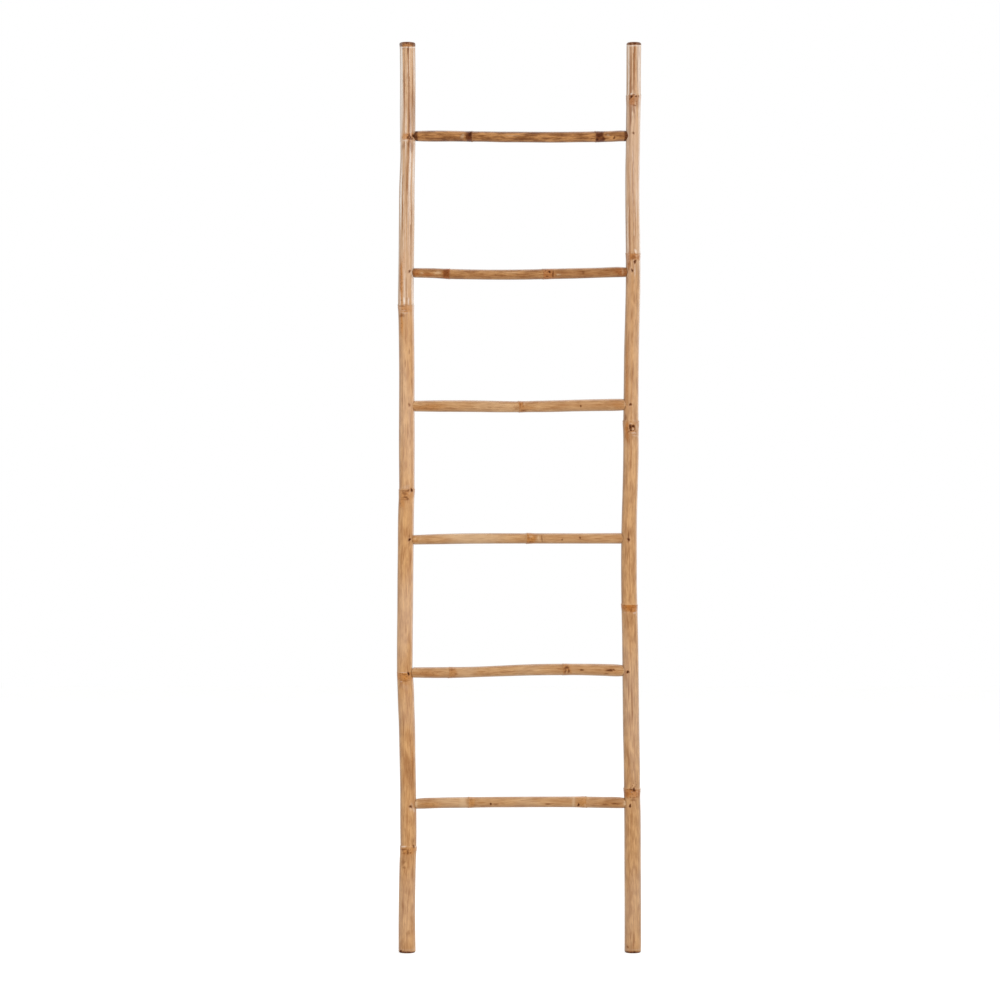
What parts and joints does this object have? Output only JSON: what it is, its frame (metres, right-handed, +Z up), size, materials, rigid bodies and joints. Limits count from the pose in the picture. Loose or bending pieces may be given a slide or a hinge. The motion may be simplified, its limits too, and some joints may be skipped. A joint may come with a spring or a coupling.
{
  "type": "towel ladder",
  "caption": "Leaning bamboo towel ladder: upright culm poles joined by thinner culm rungs, each tenoned into the poles and nailed from the front.",
  "frame": {"origin": "on the floor, midway between the poles, in the plane of their axes", "axes": "+X to the right seen from the front, +Y to the back, +Z up along the poles"},
  "size_m": [0.5111, 0.0368, 1.9],
  "materials": {
    "pole_bamboo": "satin varnish",
    "rung_bamboo": "satin varnish",
    "nails": "dull, darkened"
  },
  "bodies": {
    "root": {"left_pole": "pole_bamboo", "right_pole": "pole_bamboo", "rung_1": "rung_bamboo", "rung_2": "rung_bamboo", "rung_3": "rung_bamboo", "rung_4": "rung_bamboo", "rung_5": "rung_bamboo", "rung_6": "rung_bamboo", "nail_1_left": "nails", "nail_1_right": "nails", "nail_2_left": "nails", "nail_2_right": "nails", "nail_3_left": "nails", "nail_3_right": "nails", "nail_4_left": "nails", "nail_4_right": "nails", "nail_5_left": "nails", "nail_5_right": "nails", "nail_6_left": "nails", "nail_6_right": "nails"}
  },
  "joints": []
}
